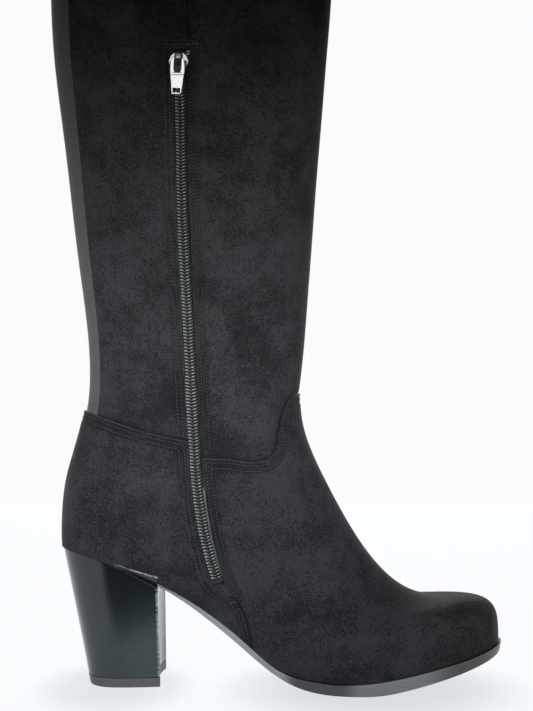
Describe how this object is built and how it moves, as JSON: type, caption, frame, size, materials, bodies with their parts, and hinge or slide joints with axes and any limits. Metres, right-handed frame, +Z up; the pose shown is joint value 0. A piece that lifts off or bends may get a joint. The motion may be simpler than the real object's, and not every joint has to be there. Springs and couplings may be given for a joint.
{
  "type": "over-the-knee boot",
  "caption": "Left over-the-knee boot in faux suede with a high block heel, an elastic back gore and an inner-side zip with a swinging pull tab.",
  "frame": {"origin": "on the floor, at the middle of the heel tip's under side", "axes": "+X to the toe, +Y to the wearer's left (the outer side, away from the zip), +Z up the shaft"},
  "size_m": [0.2573, 0.0882, 0.6001],
  "materials": {
    "suede": "black faux suede, matt",
    "elastic": "ribbed black elastic, slight sheen",
    "zip_nylon": "black nylon coil and tape, satin",
    "chrome": "bright chrome plate",
    "sole": "satin black",
    "lining": "matt dark lining",
    "gloss_heel": "black, fine stacked lines, high gloss",
    "heel_rubber": "satin black"
  },
  "bodies": {
    "boot": {"upper": "suede", "shaft": "suede", "back_gore": "elastic", "zip_chain": "zip_nylon", "zip_slider": "chrome", "zip_bottom_stop": "chrome", "outsole": "sole", "insole": "lining", "heel_block": "gloss_heel", "heel_tip": "heel_rubber"},
    "pull": {"zip_pull": "chrome"}
  },
  "joints": [
    {"name": "pull_swing", "type": "hinge", "parent": "boot", "child": "pull", "pos_m": [0.0322, -0.0372, 0.3414], "axis": [-1, 0, 0], "range_deg": [-3, 170]}
  ]
}
